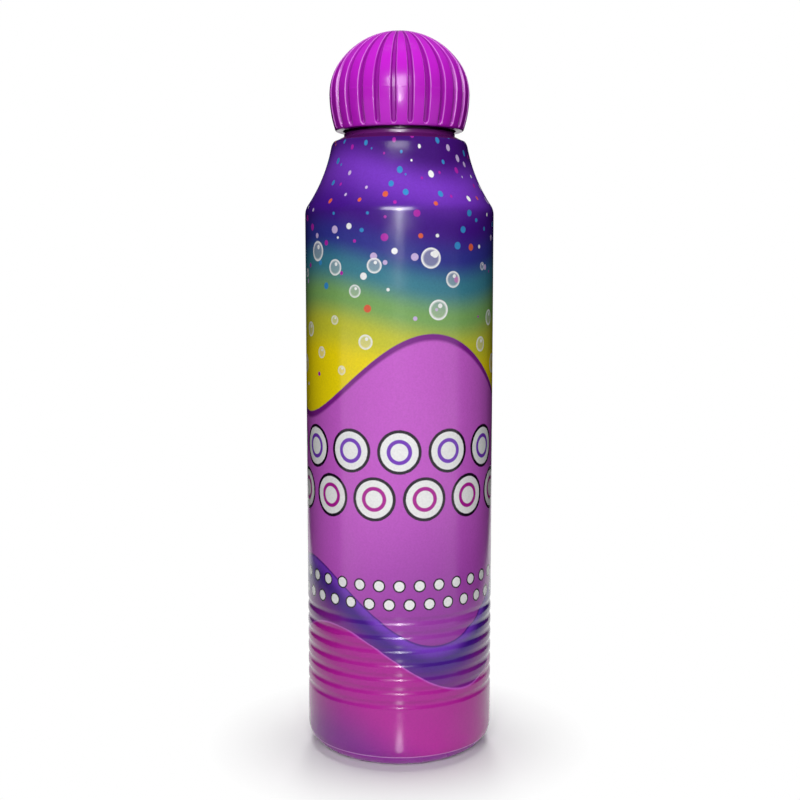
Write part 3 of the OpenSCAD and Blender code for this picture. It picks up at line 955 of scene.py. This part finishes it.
# The cap
# Injection-moulded magenta polypropylene: a bulb with narrow grooves that run from the crown to just above
# the rim, a threaded bore with a keeper bead for the seal ring, and a mould line round its widest place.
cap_low, cap_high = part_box("cap_shell")
cap_r = cap_high.x
rim_z = cap_low.z
cap_z = cap_high.z
rim_r = 12.8 * mm
rim_round = 0.2 * mm
skirt_h = 7.1 * mm
side_r = 11.0 * mm
equator_z = rim_z + skirt_h
dome_h = cap_z - equator_z
cap_wall = 1.75 * mm
cap_bore_r = 11.35 * mm
cap_room_r = 9.9 * mm
keeper_r = 10.95 * mm
keeper_h = 0.4 * mm
keeper_gap = 0.25 * mm
cap_thread_r = 10.4 * mm
cap_thread_low = thread_low - 1.1 * mm
cap_thread_start = 0.3
cap_turns = 1.5
mould_line_out = 0.03 * mm
flute_count = 26
flute_depth = 0.72 * mm
flute_pitch = 2 * math.pi / flute_count
flute_turn = math.radians(-90 + 2.2)
flute_crown_r = 0.5 * mm
flute_crown_fade = 3.0 * mm
flute_foot_h = 1.05 * mm
groove_lip = 0.188
groove_floor = 0.085
groove_ease = 0.07 * mm
# Columns across one flute, as shares of its pitch from the middle of the groove
half_flute = (0.04, 0.075, 0.085, 0.10, 0.13, 0.16, 0.174, 0.184, 0.194, 0.207, 0.23, 0.28, 0.35, 0.42)
flute_columns = tuple(-share for share in reversed(half_flute)) + (0.0,) + half_flute + (0.5,)

skirt_arc_r = (skirt_h ** 2 + (cap_r - rim_r) ** 2) / (2 * (cap_r - rim_r))
side_c = Vector((cap_r - side_r, equator_z))
crown_arc_r = (side_c.x ** 2 + dome_h ** 2 - side_r ** 2) / (2 * (dome_h - side_r))
crown_c = Vector((0.0, cap_z - crown_arc_r))
crown_foot = math.degrees(math.atan2(side_c.y - crown_c.y, side_c.x))
step_z = seal_high.z
keeper_z = seal_low.z - keeper_gap
skirt_foot = -math.degrees(math.asin((skirt_h - 1.2 * rim_round) / skirt_arc_r))
cap_outside = (
    arc((rim_r - rim_round, rim_z + rim_round), rim_round, -90, -15, 4)
    + arc((cap_r - skirt_arc_r, equator_z), skirt_arc_r, skirt_foot, -0.3, 22)
    + [Vector((cap_r + mould_line_out, equator_z))]
    + arc(side_c, side_r, 0.4, crown_foot, 24)
    + arc(crown_c, crown_arc_r, crown_foot, 90, 22)[1:]
)
roof_side = (
    arc(side_c, side_r - cap_wall, 0, crown_foot, 14)
    + arc(crown_c, crown_arc_r - cap_wall, crown_foot, 90, 10)[1:]
)
cap_roof = [point for point in roof_side if point.x < cap_room_r and point.y > step_z]
cap_inside = (
    list(reversed(cap_roof))
    + [Vector((cap_room_r, step_z)), Vector((cap_bore_r, step_z)), Vector((cap_bore_r, keeper_z))]
    + [Vector((keeper_r, keeper_z - keeper_h / 4)), Vector((keeper_r, keeper_z - 3 * keeper_h / 4))]
    + [Vector((cap_bore_r, keeper_z - keeper_h)), Vector((cap_bore_r, rim_z))]
)
cap_marks = [0.0] * len(cap_inside) + [1.0] * len(cap_outside)
cap_shape = spun(cap_inside + cap_outside, flute_count * len(flute_columns), marks=cap_marks)


def groove_depth(share, height, radius):
    """How deep a groove is, at a share of the pitch from its middle: flat floor, steep walls, eased lips."""
    foot = max(0.0, rim_z + flute_foot_h - height) / (cap_r * flute_pitch)
    crown = math.sqrt(min(1.0, max(0.0, (radius - flute_crown_r) / flute_crown_fade)))
    wall = min(1.0, (groove_lip - math.hypot(share, foot)) / (groove_lip - groove_floor))
    sunk = flute_depth * crown * wall
    return (sunk + math.sqrt(sunk ** 2 + groove_ease ** 2)) / 2


flute_mark = cap_shape.verts.layers.float["mark"]
for corner in cap_shape.verts:
    reach = math.hypot(corner.co.x, corner.co.y)
    if reach < 0.01 * mm:
        continue
    place = math.atan2(corner.co.y, corner.co.x) / (2 * math.pi) * flute_count * len(flute_columns)
    flute, column = divmod(round(place), len(flute_columns))
    share = flute_columns[column]
    angle = flute_turn + (flute + 0.5 + share) * flute_pitch
    depth = groove_depth(share, corner.co.z, reach) if corner[flute_mark] > 0.5 else 0.0
    corner[flute_mark] = min(1.0, depth / flute_depth)
    corner.co.x = (reach - depth) * math.cos(angle)
    corner.co.y = (reach - depth) * math.sin(angle)
wind_thread(cap_shape, cap_bore_r + thread_sink, cap_thread_r, cap_thread_low, cap_thread_start, cap_turns)

cap_magenta, cap_tree, cap_shader = moulded_plastic(
    "cap_magenta", colour(198, 32, 208), 1400.0, 0.20, 0.015 * mm
)
cap_shader.inputs["Specular IOR Level"].default_value = 0.36
groove_mark = put(cap_tree, "ShaderNodeAttribute")
groove_mark.attribute_name = "mark"
groove_deep = groove_mark.outputs["Fac"]
# Painted shade: the deeper a groove, the darker the cap's colour is drawn there, where less light gets in.
groove_painted_shade = ranged(cap_tree, groove_deep, 0.12, 0.75, 1.0, 0.56)
cap_paint_with_groove_shade = toned(cap_tree, paint_of(cap_shader), groove_painted_shade)
# Painted highlight: the lips of the grooves are drawn paler, more in some places than in others.
lip_outer = ranged(cap_tree, groove_deep, 0.012, 0.04)
lip_inner = ranged(cap_tree, groove_deep, 0.14, 0.30, 1.0, 0.0)
lip_highlight_patches = patches(cap_tree, 190.0, 2.0, 0.15, 0.75)
lip_painted_highlight = sums(cap_tree, "MULTIPLY", sums(cap_tree, "MULTIPLY", lip_outer, lip_inner), lip_highlight_patches)
cap_face = over_print(cap_tree, lip_painted_highlight, cap_paint_with_groove_shade, colour(244, 172, 246))
feed(cap_tree, cap_shader.inputs["Base Color"], cap_face)
cap = as_piece("cap_bulb", cap_shape, cap_magenta, crease=55)
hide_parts("cap_shell")
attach(cap, "cap")
